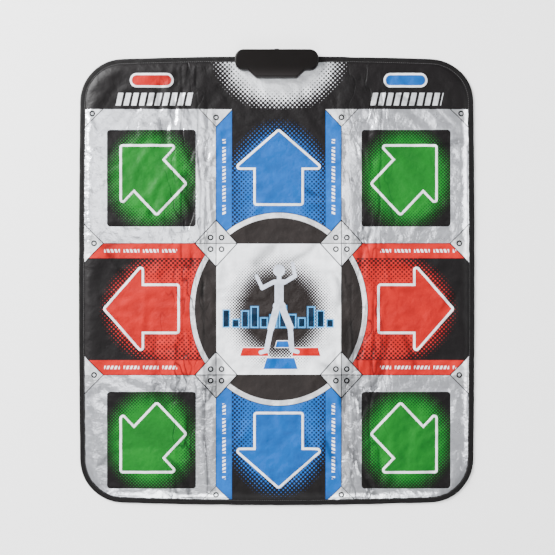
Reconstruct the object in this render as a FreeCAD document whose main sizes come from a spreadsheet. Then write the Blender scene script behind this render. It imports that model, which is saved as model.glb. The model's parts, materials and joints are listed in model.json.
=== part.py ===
"""Foldable dance mat with ten foot switches and a controller box at its far edge.

Frame: millimetres, +Z up, +Y towards the controller box, origin on the underside at the middle of the mat.

The mat is a sandwich sewn into a bound edge. From the floor up: slip-proof base, cushion foam, lower film
with printed contacts, spacer foam with a window at each switch, upper film, printed cover. Each switch is the
patch of cover and film above a window. Two fold lines divide every layer into a left, a centre and a right
section.
"""

import FreeCAD
import Part
import os
import re
import Sketcher

SIZES = {
    # outline of the mat
    "mat_width": 820,
    "mat_length": 930,
    "side_bow": 4,
    "end_bow": 9,
    "mat_corner": 90,
    # fold lines: how far they lie outside the halfway line between two columns, and the slit between
    # sections
    "fold_shift": 8,
    "fold_slit": 0.3,
    # thickness of each layer
    "base_thick": 0.8,
    "foam_thick": 2.0,
    "film_thick": 0.3,
    "ink_thick": 0.1,
    "spacer_thick": 1.7,
    "cover_thick": 0.8,
    # sewn edge
    "tape_thick": 0.8,
    "tape_width": 13,
    "seam_clear": 0.2,
    # how far inside the sewn edge the foam and films end
    "layer_set_in": 8,
    # layout of the print: how far its middle lies right of the mat's, and how far the middles of the
    # outermost straight arrows lie from the mat's sides, its front edge and its back edge
    "print_right": 4,
    "side_margin": 126,
    "front_margin": 114,
    "back_margin": 230,
    # how much nearer the middle of the print the diagonal arrows and the pills lie
    "corner_tuck_across": 10,
    "corner_tuck_along": 11,
    "pill_tuck": 22,
    "pill_margin": 51,
    # arrows of the four straight directions
    "cross_head_wide": 197,
    "cross_head_long": 86,
    "cross_shaft_wide": 104,
    "cross_shaft_long": 74,
    # arrows of the four diagonal directions, drawn out a little along the mat
    "corner_head_wide": 175,
    "corner_head_long": 87.5,
    "corner_shaft_wide": 91,
    "corner_shaft_long": 66.5,
    "corner_stretch": 1.06,
    "arrow_round": 7,
    # pill-shaped switches
    "pill_long": 90,
    "pill_wide": 29,
    # switch fits
    "patch_clear": 0.3,
    "window_clear": 1.5,
    "contact_inset": 8,
    # printed tracks
    "track_wide": 2.5,
    "track_pitch": 5,
    "channel_clear": 8,
    "bus_before_box": 66,
    "pill_bus_drop": 10,
    "track_short": 1.5,
    # controller box
    "box_overhang": 11.5,
    "box_depth": 43,
    "box_width": 173,
    "box_corner": 19,
    "tongue_long": 16,
    "tongue_shoulder": 28,
    "tongue_taper": 17,
    "tongue_corner": 6,
    "box_height": 20,
    "box_wall": 2.2,
    "box_edge_round": 4,
    "skirt_clear": 1.0,
    "box_lip": 6,
    "notch_clear": 0.5,
    "tray_floor": 2.0,
    "tray_wall": 1.6,
    "tray_rim": 8.0,
    # screws of the box
    "side_screw_in": 18,
    "front_screw_in": 14,
    "front_screw_aside": 2,
    "screw_shank": 1.4,
    "screw_head": 2.7,
    "screw_head_deep": 2.0,
    "screw_length": 12.5,
    "screw_clear": 0.2,
    "pilot_clear": 0.05,
    "boss_wall": 2.0,
    "boss_split": 5.0,
    "boss_gap": 0.2,
    # film tail and circuit board
    "tail_wide": 66,
    "tail_root": 38,
    "tail_reach": 13,
    "tail_slot_clear": 2,
    "tail_slot_drop": 0.05,
    "strip_deep": 6,
    "board_wide": 92,
    "board_set_back": 4,
    "board_deep": 29,
    "board_thick": 1.6,
    "board_hole_inset": 4,
    "board_screw": 0.95,
    "board_screw_head": 2.3,
    "board_screw_head_high": 1.5,
    "board_screw_length": 3.4,
    "post_wall": 2.0,
    # parts on the board
    "chip_across": 16,
    "chip_high": 2.4,
    "crystal_wide": 11,
    "crystal_deep": 4.6,
    "crystal_high": 3.5,
    "capacitor_across": 6.3,
    "capacitor_high": 9,
    "capacitor_apart": 3,
    # cable outlet
    "gland_high": 10.5,
    "gland_bore": 2.4,
    "gland_neck": 4.0,
    "gland_flange": 5.5,
    "gland_flange_thick": 1.2,
    "gland_clear": 0.1,
}

SECTIONS = ("left", "centre", "right")
STRAIGHT = {"up": 0, "left": 90, "down": 180, "right": 270}
DIAGONAL = {"up_left": 45, "down_left": 135, "down_right": 225, "up_right": 315}
PILLS = {"select": -1, "start": 1}
SECTION_OF = {
    "up": "centre", "down": "centre",
    "up_left": "left", "left": "left", "down_left": "left", "select": "left",
    "up_right": "right", "right": "right", "down_right": "right", "start": "right",
}
# order of the printed tracks, from the innermost channel line outwards, on each side of the tail
TRACKS = {"left": ("down", "down_left", "left", "up_left", "select"),
          "right": ("down_right", "right", "up_right", "start")}

# heights of the layers, as sums of the sheet's cells
LOW_FILM = "(base_thick + foam_thick)"
INK = f"({LOW_FILM} + film_thick)"
SPACER = f"({INK} + ink_thick)"
TOP_FILM = f"({SPACER} + spacer_thick)"
COVER = f"({TOP_FILM} + film_thick)"
MAT_TOP = f"({COVER} + cover_thick)"
RIM_TOP = "(2 * tape_thick + base_thick + cover_thick)"

# places in the plan
CROSS_ACROSS = "(mat_width / 2 - side_margin)"
CROSS_ALONG = "((mat_length - front_margin - back_margin) / 2)"
PRINT_FORWARD = "((front_margin - back_margin) / 2)"
CORNER_ACROSS = f"({CROSS_ACROSS} - corner_tuck_across)"
CORNER_ALONG = f"({CROSS_ALONG} - corner_tuck_along)"
PILL_ACROSS = f"({CROSS_ACROSS} - pill_tuck)"
PILL_FORWARD = "(mat_length / 2 - pill_margin)"
FOLD = f"({CROSS_ACROSS} / 2 + fold_shift)"
BOX_BACK = "(mat_length / 2 + box_overhang)"
BOX_FRONT = f"({BOX_BACK} - box_depth)"
NOSE_FRONT = f"({BOX_FRONT} - tongue_long)"
BOARD_FRONT = f"({BOX_FRONT} + board_set_back)"
TAIL_END = f"({BOX_FRONT} + tail_reach)"

doc = FreeCAD.newDocument("dance_mat")
sheet = doc.addObject("Spreadsheet::Sheet", "Sizes")
for row, (alias, number) in enumerate(SIZES.items(), start=1):
    sheet.set(f"A{row}", alias)
    sheet.set(f"B{row}", str(number))
    sheet.setAlias(f"B{row}", alias)
doc.recompute()

probe = doc.addObject("App::FeaturePython", "probe")
probe.addProperty("App::PropertyFloat", "Number")
sub_parts = []


def cells(text):
    """The expression with each alias read from the sheet."""
    return re.sub(r"[a-z]\w+", lambda word: f"Sizes.{word[0]}" if word[0] in SIZES else word[0], str(text))


def value(text):
    """The number that an expression has now, worked out on a spare object."""
    probe.setExpression("Number", cells(text))
    probe.recompute()
    return probe.Number


def bind(thing, **formulas):
    """Ties properties to cells; a name such as at_x means Placement.Base.x."""
    for name, text in formulas.items():
        path = name.replace("at_", "Placement.Base.") if name.startswith("at_") else name
        thing.setExpression(path, cells(text))
    return thing


def sub_part(thing, label):
    """Marks an object as a piece of the mat, under its own name."""
    thing.Label = label
    sub_parts.append(thing)
    return thing


# ---------------------------------------------------------------- outlines


def place_point(sketch, edge, end, across, along):
    """Ties one end of an edge to its distances from the origin."""
    for kind, text in (("DistanceX", across), ("DistanceY", along)):
        rule = sketch.addConstraint(Sketcher.Constraint(kind, -1, 1, edge, end, value(text)))
        sketch.setExpression(f"Constraints[{rule}]", cells(text))


def join_ends(sketch, count):
    for edge in range(count):
        sketch.addConstraint(Sketcher.Constraint("Coincident", edge, 2, (edge + 1) % count, 1))


def polygon(name, corners):
    """Closed outline with straight sides; each corner is a pair of expressions."""
    sketch = doc.addObject("Sketcher::SketchObject", name)
    points = [FreeCAD.Vector(value(across), value(along), 0) for across, along in corners]
    for index, start in enumerate(points):
        sketch.addGeometry(Part.LineSegment(start, points[(index + 1) % len(points)]))
    join_ends(sketch, len(points))
    for index, (across, along) in enumerate(corners):
        place_point(sketch, index, 1, across, along)
    return sketch


def bowed_rectangle(name):
    """The mat's outline before its corners are rounded: four shallow arcs."""
    across, along = "(mat_width / 2 - side_bow)", "(mat_length / 2 - end_bow)"
    corners = [(across, f"-{along}"), (across, along), (f"-{across}", along), (f"-{across}", f"-{along}")]
    side, end = "mat_width / 2", "mat_length / 2"
    crowns = [(side, "0"), ("0", end), (f"-{side}", "0"), ("0", f"-{end}")]
    radii = [f"({along}^2 + side_bow^2) / (2 * side_bow)", f"({across}^2 + end_bow^2) / (2 * end_bow)"]
    sketch = doc.addObject("Sketcher::SketchObject", name)
    points = [FreeCAD.Vector(value(x), value(y), 0) for x, y in corners]
    tops = [FreeCAD.Vector(value(x), value(y), 0) for x, y in crowns]
    for index in range(4):
        sketch.addGeometry(Part.Arc(points[index], tops[index], points[(index + 1) % 4]))
    join_ends(sketch, 4)
    for index, (x, y) in enumerate(corners):
        place_point(sketch, index, 1, x, y)
    for index in range(4):
        rule = sketch.addConstraint(Sketcher.Constraint("Radius", index, value(radii[index % 2])))
        sketch.setExpression(f"Constraints[{rule}]", cells(radii[index % 2]))
    return sketch


def offset(name, outline, amount):
    """The outline moved outwards by an amount; a negative one moves it in."""
    ring = doc.addObject("Part::Offset2D", name)
    ring.Source = outline
    return bind(ring, Value=amount)


def rounded(name, outline, radius):
    """The outline with every outward corner rounded."""
    return offset(name, offset(f"{name}_core", outline, f"-({radius})"), radius)


def switch_middle(name):
    """Where the middle of a switch lies in the plan."""
    if name in PILLS:
        return f"(print_right + {PILLS[name]} * {PILL_ACROSS})", PILL_FORWARD
    if name in STRAIGHT:
        turn = f"{STRAIGHT[name]} deg"
        return (f"(print_right - {CROSS_ACROSS} * sin({turn}))",
                f"({PRINT_FORWARD} + {CROSS_ALONG} * cos({turn}))")
    right, ahead = (1 if "right" in name else -1), (1 if "up" in name else -1)
    return f"(print_right + {right} * {CORNER_ACROSS})", f"({PRINT_FORWARD} + {ahead} * {CORNER_ALONG})"


def arrow_outline(name, angle, kind, stretch):
    """An arrow that points away from the middle of the print, at an angle from straight ahead."""
    across, along = switch_middle(name)
    half = f"({kind}_head_long + {kind}_shaft_long) / 2"
    neck = f"({half} - {kind}_head_long)"
    head, shaft = f"{kind}_head_wide / 2", f"{kind}_shaft_wide / 2"
    ahead_side = [(half, "0"), (neck, f"-{head}"), (neck, f"-{shaft}"), (f"-{half}", f"-{shaft}"),
                  (f"-{half}", shaft), (neck, shaft), (neck, head)]
    turn = f"{angle} deg"
    corners = [(f"{across} - ({ahead}) * sin({turn}) + ({side}) * cos({turn})",
                f"{along} + (({ahead}) * cos({turn}) + ({side}) * sin({turn})) * {stretch}")
               for ahead, side in ahead_side]
    return rounded(f"{name}_outline", polygon(f"{name}_sketch", corners), "arrow_round")


def pill_outline(name):
    across, along = switch_middle(name)
    corners = [(f"{across} + {x} * pill_long / 2", f"{along} + {y} * pill_wide / 2")
               for x, y in ((-1, -1), (1, -1), (1, 1), (-1, 1))]
    return rounded(f"{name}_outline", polygon(f"{name}_sketch", corners), "(pill_wide / 2 - 0.2)")


# ---------------------------------------------------------------- solids


def slab(name, outline, low, high):
    """The outline raised from one height to another."""
    solid = doc.addObject("Part::Extrusion", name)
    solid.Base = outline
    solid.DirMode = "Custom"
    solid.Dir = (0, 0, 1)
    solid.Solid = True
    return bind(solid, LengthRev=f"-({low})", LengthFwd=high)


def box(name, low, high):
    """A block between two corners, each three expressions."""
    block = doc.addObject("Part::Box", name)
    bind(block, at_x=low[0], at_y=low[1], at_z=low[2])
    return bind(block, Length=f"({high[0]}) - ({low[0]})", Width=f"({high[1]}) - ({low[1]})",
                Height=f"({high[2]}) - ({low[2]})")


def rod(name, radius, across, along, low, high):
    """An upright cylinder between two heights."""
    cylinder = doc.addObject("Part::Cylinder", name)
    return bind(cylinder, Radius=radius, Height=f"({high}) - ({low})", at_x=across, at_y=along, at_z=low)


def cut(name, base, tool):
    result = doc.addObject("Part::Cut", name)
    result.Base = base
    result.Tool = tool
    return result


def group(name, kind, things):
    """Several solids as one: a MultiFuse, a MultiCommon or a Compound."""
    result = doc.addObject(f"Part::{kind}", name)
    if kind == "Compound":
        result.Links = things
    else:
        result.Shapes = things
    return result


def fuse(name, *things):
    result = group(name, "MultiFuse", list(things))
    result.Refine = True
    return result


# ---------------------------------------------------------------- the mat


def in_thirds(layer, name):
    """Divides a layer at the fold lines, and makes each third a sub-part."""
    for section in SECTIONS:
        third = group(f"{name}_{section}_cut", "MultiCommon", [layer, section_blocks[section]])
        sub_part(third, f"{name}_{section}")


def switch_outlines():
    """The rounded outline of every switch."""
    outlines = {}
    for name, angle in STRAIGHT.items():
        outlines[name] = arrow_outline(name, angle, "cross", "1")
    for name, angle in DIAGONAL.items():
        outlines[name] = arrow_outline(name, angle, "corner", "corner_stretch")
    for name in PILLS:
        outlines[name] = pill_outline(name)
    return outlines


def make_switches(outlines):
    """The moving patch and contact of each switch, and the cutters for their openings."""
    windows, wells = [], []
    for name, outline in outlines.items():
        sub_part(slab(f"{name}_patch", outline, COVER, MAT_TOP), f"{name}_pad")
        carbon = slab(f"{name}_carbon", offset(f"{name}_inner", outline, "-contact_inset"),
                      f"{TOP_FILM} - ink_thick", TOP_FILM)
        carrier = slab(f"{name}_carrier", outline, TOP_FILM, COVER)
        sub_part(fuse(f"{name}_moving_contact", carrier, carbon), f"{name}_contact")
        windows.append(slab(f"{name}_window", offset(f"{name}_gap", outline, "patch_clear"),
                            f"{TOP_FILM} - 1", f"{MAT_TOP} + 1"))
        wells.append(slab(f"{name}_well", offset(f"{name}_wide", outline, "window_clear"),
                          f"{SPACER} - 0.01", f"{TOP_FILM} + 0.01"))
    return windows, wells


def track(name, across, along, to_across, to_along):
    """One straight stretch of a printed track, square at both ends."""
    half = "track_wide / 2"
    return box(name, (f"{across} - {half}", f"{along} - {half}", INK),
               (f"{to_across} + {half}", f"{to_along} + {half}", SPACER))


def make_tracks(outlines):
    """The fixed contact of each switch with its track to the tail, printed on the lower film."""
    nets = []
    fixed = {name: slab(f"{name}_fixed", offset(f"{name}_print", outline, "-contact_inset"), INK, SPACER)
             for name, outline in outlines.items()}
    track_end = f"({TAIL_END} - track_short)"
    for side, names in TRACKS.items():
        sign = -1 if side == "left" else 1
        for order, name in enumerate(names):
            across, along = switch_middle(name)
            channel = f"({sign} * (cross_head_wide / 2 + channel_clear + {order} * track_pitch))"
            bus = f"({BOX_FRONT} - bus_before_box + {order} * track_pitch)"
            tail = f"({sign} * {order + (0.5 if side == 'left' else 1.5)} * track_pitch)"
            pieces = [fixed[name]]
            if name in PILLS:
                bus = f"({PILL_FORWARD} - pill_bus_drop)"
                spans = [(across, tail)]
            else:
                spans = [(across, channel), (channel, tail)]
                pieces.append(track(f"{name}_rise", channel, along, channel, bus))
            for index, (start, stop) in enumerate(spans):
                low, high = (start, stop) if value(start) < value(stop) else (stop, start)
                level = bus if index or name in PILLS else along
                pieces.append(track(f"{name}_run_{index}", low, level, high, level))
            pieces.append(track(f"{name}_tail", tail, bus, tail, track_end))
            nets.append(fuse(f"{name}_net", *pieces))
    up_line = "(0.5 * track_pitch)"
    up_track = track("up_tail", up_line, switch_middle("up")[1], up_line, track_end)
    nets.append(fuse("up_net", fixed["up"], up_track))
    return group("nets", "Compound", nets)


def make_layers(outline, windows, wells, notch, outlines):
    """Every fixed layer of the sandwich, and the tape round its edge."""
    tucked = offset("tucked_edge", outline, "-(tape_thick + seam_clear)")
    riser_out = offset("riser_outside", outline, "-(tape_width + seam_clear)")
    riser_in = offset("riser_inside", outline, "-(tape_width + seam_clear + cover_thick)")
    inner = offset("inner_edge", outline, "-(tape_width + cover_thick + layer_set_in)")

    base = fuse("base_whole", slab("base_sheet", riser_out, "0", "base_thick"),
                cut("base_rim", slab("base_rim_block", tucked, "base_thick", "base_thick + tape_thick"),
                    slab("base_rim_middle", riser_in, "-1", f"{MAT_TOP}")))
    in_thirds(cut("base_notched", base, notch), "slip_base")

    foam = slab("foam_sheet", inner, "base_thick", LOW_FILM)
    in_thirds(cut("foam_notched", foam, notch), "cushion_foam")

    film = slab("low_film_sheet", inner, LOW_FILM, INK)
    tail = box("film_tail", ("-tail_wide / 2", f"{BOX_FRONT} - tail_root", LOW_FILM),
               ("tail_wide / 2", TAIL_END, INK))
    in_thirds(fuse("low_film_whole", cut("low_film_notched", film, notch), tail), "lower_film")

    in_thirds(make_tracks(outlines), "printed_contacts")

    spacer = slab("spacer_sheet", inner, SPACER, TOP_FILM)
    in_thirds(cut("spacer_open", spacer, group("spacer_tools", "Compound", [*wells, notch])), "spacer_foam")

    openings = group("window_tools", "Compound", [*windows, notch])
    in_thirds(cut("top_film_open", slab("top_film_sheet", inner, TOP_FILM, COVER), openings), "upper_film")

    seam_low, seam_high = "(tape_thick + base_thick)", "(tape_thick + base_thick + cover_thick)"
    riser = cut("cover_riser", slab("riser_block", riser_out, seam_low, MAT_TOP),
                slab("riser_hollow", riser_in, "-1", COVER))
    rim = cut("cover_rim", slab("cover_rim_block", tucked, seam_low, seam_high),
              slab("cover_rim_middle", riser_in, "-1", f"{MAT_TOP} + 1"))
    in_thirds(cut("cover_open", fuse("cover_whole", riser, rim), openings), "top_cover")

    tape = cut("tape_hollow", slab("tape_block", outline, "0", RIM_TOP),
               slab("tape_middle", offset("tape_inner_edge", outline, "-tape_width"), "-1", f"{RIM_TOP} + 1"))
    tape = cut("tape_whole", tape, slab("tape_fold", offset("tape_fold_edge", outline, "-tape_thick"),
                                        "tape_thick", f"{RIM_TOP} - tape_thick"))
    in_thirds(cut("tape_notched", tape, notch), "edge_binding")


# ---------------------------------------------------------------- the controller box


def box_shape(name, inset, low, high):
    """The box's plan, moved in by an inset, raised between two heights."""
    return fuse(name, slab(f"{name}_hall", offset(f"{name}_hall_edge", hall, f"-({inset})"), low, high),
                slab(f"{name}_nose", offset(f"{name}_nose_edge", nose, f"-({inset})"), low, high))


def box_screw_places():
    side = "(box_width / 2 - side_screw_in)"
    front = "(box_width / 2 - tongue_shoulder - tongue_taper - front_screw_aside)"
    return [(f"{sign} * {across}", along) for sign in (-1, 1)
            for across, along in ((side, f"({BOX_FRONT} + box_depth / 2)"),
                                  (front, f"({NOSE_FRONT} + front_screw_in)"))]


def board_screw_places():
    across = "(board_wide / 2 - board_hole_inset)"
    front, back = f"({BOARD_FRONT} + board_hole_inset)", f"({BOARD_FRONT} + board_deep - board_hole_inset)"
    return [(f"{sign} * {across}", along) for sign in (-1, 1) for along in (front, back)]


def rods(name, places, radius, low, high):
    return [rod(f"{name}_{index}", radius, across, along, low, high)
            for index, (across, along) in enumerate(places)]


def make_box_shells(outline):
    """Top shell with its screw bosses, and the tray that it closes on."""
    block = box_shape("shell_block", "0", "skirt_clear", "box_height")
    doc.recompute()
    edge = doc.addObject("Part::Fillet", "shell_round")
    edge.Base = block
    top = value("box_height")
    radius = value("box_edge_round")
    edge.Edges = [(number, radius, radius) for number, line in enumerate(block.Shape.Edges, start=1)
                  if all(abs(vertex.Z - top) < 1e-6 for vertex in line.Vertexes)]
    hollow = box_shape("shell_hollow", "box_wall", "-1", "box_height - box_wall")
    mat_room = slab("shell_mat_room", offset("shell_mat_edge", outline, "seam_clear"), "-1", MAT_TOP)
    shell = cut("shell_open", cut("shell_empty", edge, hollow), mat_room)
    places = box_screw_places()
    bosses = rods("boss", places, "screw_shank + pilot_clear + boss_wall", "boss_split + boss_gap",
                  "box_height - box_wall / 2")
    pilots = rods("pilot", places, "screw_shank + pilot_clear", "0",
                  "screw_clear + screw_head_deep + screw_length + 1")
    outlet = rod("outlet", "gland_neck + gland_clear", "0", "0", "0", "4 * box_wall")
    outlet.Placement.Rotation = FreeCAD.Rotation(FreeCAD.Vector(1, 0, 0), -90)
    bind(outlet, at_y=f"{BOX_BACK} - 2 * box_wall", at_z="gland_high")
    shell = fuse("shell_bossed", shell, *bosses)
    sub_part(cut("shell_done", shell, group("shell_tools", "Compound", [*pilots, outlet])), "box_top_shell")

    tray = cut("tray_empty", box_shape("tray_block", "box_lip", "0", "tray_rim"),
               box_shape("tray_hollow", "box_lip + tray_wall", "tray_floor", "tray_rim + 1"))
    slot_half = "(tail_wide / 2 + tail_slot_clear)"
    slot = box("tail_slot", (f"-{slot_half}", NOSE_FRONT, f"{LOW_FILM} - tail_slot_drop"),
               (slot_half, f"{NOSE_FRONT} + box_lip + 2 * tray_wall", "tray_rim + 1"))
    cups = rods("cup", places, "screw_head + screw_clear + tray_wall", "0", "boss_split")
    post_places = board_screw_places()
    posts = rods("post", post_places, "board_screw + post_wall", "0", SPACER)
    tray = fuse("tray_solid", cut("tray_slotted", tray, slot), *cups, *posts)
    holes = rods("cup_hole", places, "screw_shank + screw_clear", "-1", "boss_split + 1")
    heads = rods("cup_head", places, "screw_head + screw_clear", "-1", "2 * screw_clear + screw_head_deep")
    post_holes = rods("post_hole", post_places, "board_screw + pilot_clear", "tray_floor / 2", "tray_rim")
    sub_part(cut("tray_done", tray, group("tray_tools", "Compound", [*holes, *heads, *post_holes])),
             "box_bottom_tray")


def make_screws(name, places, head, head_levels, shank, shank_levels):
    """Pan-head screws: a head and a shank each, between the two levels given for it."""
    heads = rods(f"{name}_head", places, head, *head_levels)
    shanks = rods(f"{name}_shank", places, shank, *shank_levels)
    screws = [fuse(f"{name}_{index}", *pair) for index, pair in enumerate(zip(heads, shanks))]
    sub_part(group(f"{name}_set", "Compound", screws), name)


def make_board():
    """Circuit board, the rubber strip that presses the film tail to it, and what is soldered on it."""
    top = f"({SPACER} + board_thick)"
    half = "board_wide / 2"
    board = box("board_blank", (f"-{half}", BOARD_FRONT, SPACER), (half, f"{BOARD_FRONT} + board_deep", top))
    holes = rods("board_hole", board_screw_places(), "board_screw + screw_clear", "0", "tray_rim")
    sub_part(cut("board_drilled", board, group("board_tools", "Compound", holes)), "circuit_board")
    sub_part(box("strip", ("-tail_wide / 2", f"{TAIL_END} - strip_deep", "tray_floor"),
                 ("tail_wide / 2", TAIL_END, LOW_FILM)), "pressure_strip")
    middle = f"{BOARD_FRONT} + board_deep / 2"
    chip = doc.addObject("Part::Ellipsoid", "chip_dome")
    bind(chip, Radius1="chip_high", Radius2="chip_across / 2", Radius3="chip_across / 2")
    bind(chip, at_y=middle, at_z=top)
    chip.Angle1 = 0
    sub_part(chip, "controller_chip")
    side = "board_wide / 4"
    can = box("crystal_block", (side, middle, top), (f"{side} + crystal_wide", f"{middle} + crystal_deep",
                                                     f"{top} + crystal_high"))
    ends = doc.addObject("Part::Fillet", "crystal_can")
    ends.Base = can
    doc.recompute()
    ends.Edges = [(number, value("crystal_deep") * 0.45, value("crystal_deep") * 0.45)
                  for number, line in enumerate(can.Shape.Edges, start=1)
                  if abs(line.Vertexes[0].Z - line.Vertexes[1].Z) > value("crystal_high") / 2]
    sub_part(ends, "crystal")
    pitch = "(capacitor_across + capacitor_apart)"
    cans = [rod(f"capacitor_{index}", "capacitor_across / 2", f"-{side} - {index} * {pitch}", middle,
                top, f"{top} + capacitor_high") for index in range(2)]
    sub_part(group("capacitor_set", "Compound", cans), "capacitors")
    make_screws("board_screws", board_screw_places(), "board_screw_head",
                (top, f"{top} + board_screw_head_high"), "board_screw", (f"{top} - board_screw_length", top))


def make_gland():
    """Rubber bush in the back wall, turned from a profile round the cable's line."""
    body = doc.addObject("PartDesign::Body", "gland_body")
    plane = next(item for item in body.Origin.OriginFeatures if item.Role == "XY_Plane")
    sketch = body.newObject("Sketcher::SketchObject", "gland_profile")
    sketch.AttachmentSupport = [(plane, "")]
    sketch.MapMode = "FlatFace"
    reach = "(box_wall + 2 * gland_flange_thick)"
    inside, outside = "gland_flange_thick", "gland_flange_thick + box_wall"
    corners = [("gland_bore", "0"), ("gland_flange", "0"), ("gland_flange", inside), ("gland_neck", inside),
               ("gland_neck", outside), ("gland_flange", outside), ("gland_flange", reach),
               ("gland_bore", reach)]
    points = [FreeCAD.Vector(value(x), value(y), 0) for x, y in corners]
    for index, start in enumerate(points):
        sketch.addGeometry(Part.LineSegment(start, points[(index + 1) % len(points)]))
    join_ends(sketch, len(points))
    for index, (x, y) in enumerate(corners):
        place_point(sketch, index, 1, x, y)
    turn = body.newObject("PartDesign::Revolution", "gland_turned")
    turn.Profile = sketch
    turn.ReferenceAxis = (sketch, ["V_Axis"])
    turn.Angle = 360
    bind(body, at_y=f"{BOX_BACK} - box_wall - gland_flange_thick", at_z="gland_high")
    sub_part(body, "cable_gland")


# ---------------------------------------------------------------- build

mat_outline = rounded("mat_outline", bowed_rectangle("mat_sketch"), "mat_corner")
far, deep = "mat_width", "mat_length"
lines = {"left": (f"-{far}", f"-{FOLD} - fold_slit / 2"),
         "centre": (f"-{FOLD} + fold_slit / 2", f"{FOLD} - fold_slit / 2"),
         "right": (f"{FOLD} + fold_slit / 2", far)}
section_blocks = {section: box(f"{section}_block", (low, f"-{deep}", "-5"), (high, deep, "box_height"))
                  for section, (low, high) in lines.items()}

hall_half, nose_back = "box_width / 2", f"{BOX_FRONT} + box_depth / 2"
tip = "(box_width / 2 - tongue_shoulder - tongue_taper)"
root = "(box_width / 2 - tongue_shoulder + tongue_taper / tongue_long * box_depth / 2)"
hall = rounded("hall", polygon("hall_sketch", [
    (f"-{hall_half}", BOX_FRONT), (hall_half, BOX_FRONT),
    (hall_half, BOX_BACK), (f"-{hall_half}", BOX_BACK)]), "box_corner")
nose = rounded("nose", polygon("nose_sketch", [
    (f"-{tip}", NOSE_FRONT), (tip, NOSE_FRONT), (root, nose_back), (f"-{root}", nose_back)]), "tongue_corner")
notch_block = box_shape("notch", "box_lip - notch_clear", "-2", f"{MAT_TOP} + 2")

pad_outlines = switch_outlines()
window_cutters, well_cutters = make_switches(pad_outlines)
make_layers(mat_outline, window_cutters, well_cutters, notch_block, pad_outlines)
make_box_shells(mat_outline)
head_top = "(screw_clear + screw_head_deep)"
make_screws("box_screws", box_screw_places(), "screw_head", ("screw_clear", head_top),
            "screw_shank", (head_top, f"{head_top} + screw_length"))
make_board()
make_gland()
doc.recompute()

for thing in doc.Objects:
    if "Invalid" in thing.State or "Error" in thing.State:
        raise RuntimeError(f"{thing.Name} did not build: {thing.State}")
os.makedirs("parts", exist_ok=True)
for piece in sub_parts:
    shape = piece.Shape
    if shape.isNull() or not shape.isValid() or not shape.Solids:
        raise RuntimeError(f"{piece.Label} is not a valid solid")
    shape.exportStep(f"parts/{piece.Label}.step")
print(len(sub_parts), "sub-parts written")
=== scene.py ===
"""Foldable dance mat: the printed cover, its sewn edge, the slip-proof base and the controller box."""

import json
import math

import bpy
import numpy as np
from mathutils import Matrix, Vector
from mathutils.geometry import convex_hull_2d

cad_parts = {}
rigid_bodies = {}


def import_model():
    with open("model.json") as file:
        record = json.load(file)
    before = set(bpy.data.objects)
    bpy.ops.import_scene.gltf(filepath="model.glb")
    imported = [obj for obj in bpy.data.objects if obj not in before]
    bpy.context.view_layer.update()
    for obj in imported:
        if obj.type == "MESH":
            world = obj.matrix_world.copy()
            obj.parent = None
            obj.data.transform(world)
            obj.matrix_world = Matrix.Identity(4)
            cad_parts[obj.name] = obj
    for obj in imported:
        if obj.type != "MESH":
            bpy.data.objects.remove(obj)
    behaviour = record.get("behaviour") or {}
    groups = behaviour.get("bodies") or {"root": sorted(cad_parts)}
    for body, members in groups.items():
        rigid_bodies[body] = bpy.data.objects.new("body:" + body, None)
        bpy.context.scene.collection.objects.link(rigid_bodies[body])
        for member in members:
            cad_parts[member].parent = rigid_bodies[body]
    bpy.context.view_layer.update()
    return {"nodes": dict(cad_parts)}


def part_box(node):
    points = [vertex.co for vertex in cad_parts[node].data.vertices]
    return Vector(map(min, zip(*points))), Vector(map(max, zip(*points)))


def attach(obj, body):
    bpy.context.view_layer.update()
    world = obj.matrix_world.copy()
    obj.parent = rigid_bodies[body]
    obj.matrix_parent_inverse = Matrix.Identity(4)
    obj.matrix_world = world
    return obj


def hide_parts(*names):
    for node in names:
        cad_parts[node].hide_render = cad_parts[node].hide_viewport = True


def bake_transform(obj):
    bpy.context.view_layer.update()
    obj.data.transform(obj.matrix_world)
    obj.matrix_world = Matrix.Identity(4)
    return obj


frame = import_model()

MM = 0.001
SIDES = {"left": -1, "right": 1}
SECTIONS = ("left", "centre", "right")
BODIES = {"left": "left_flap", "centre": "centre", "right": "right_flap"}
KEYS = {
    "up": ("centre", "blue"), "down": ("centre", "blue"),
    "left": ("left", "red"), "right": ("right", "red"),
    "up_left": ("left", "green"), "down_left": ("left", "green"),
    "up_right": ("right", "green"), "down_right": ("right", "green"),
    "select": ("left", "red"), "start": ("right", "blue"),
}

# folds: the sections part at FOLD, and a strip on each side of it bends
FOLD = 150 * MM
STRIP_IN = 146 * MM
STRIP_OUT = 164 * MM

# long creases where the mat is folded away: X in millimetres at its far and near ends, wander and lift
CREASES = ((-165, -143, 2.5, 2.6), (-199, -186, 5, 1.5), (220, 187, 2.5, 2.6), (150, 158, 4, 1.4))

# cover
TOP = 6.0 * MM
RELIEF_LIMIT = 3.7 * MM
CELL = 4.5 * MM
CREASED_BANDS = ((-0.222, -0.132), (0.136, 0.236))
CREASE_COUNT = 330
OUTLINE_WIDE = 4.7 * MM
PILL_OUTLINE_WIDE = 4.0 * MM
SKIRT_WIDE = 1.2 * MM
SKIRT_DEEP = 0.5 * MM

# cloth simulation: grid, frames and settings
SIM_COLUMNS, SIM_ROWS = 83, 95
SIM_FRAMES = 26
SIM_SETTINGS = {
    "quality": 6, "mass": 0.12, "tension_stiffness": 20, "compression_stiffness": 20, "shear_stiffness": 8,
    "bending_stiffness": 0.35, "vertex_group_mass": "sewn", "shrink_min": -0.0075,
}

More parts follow.
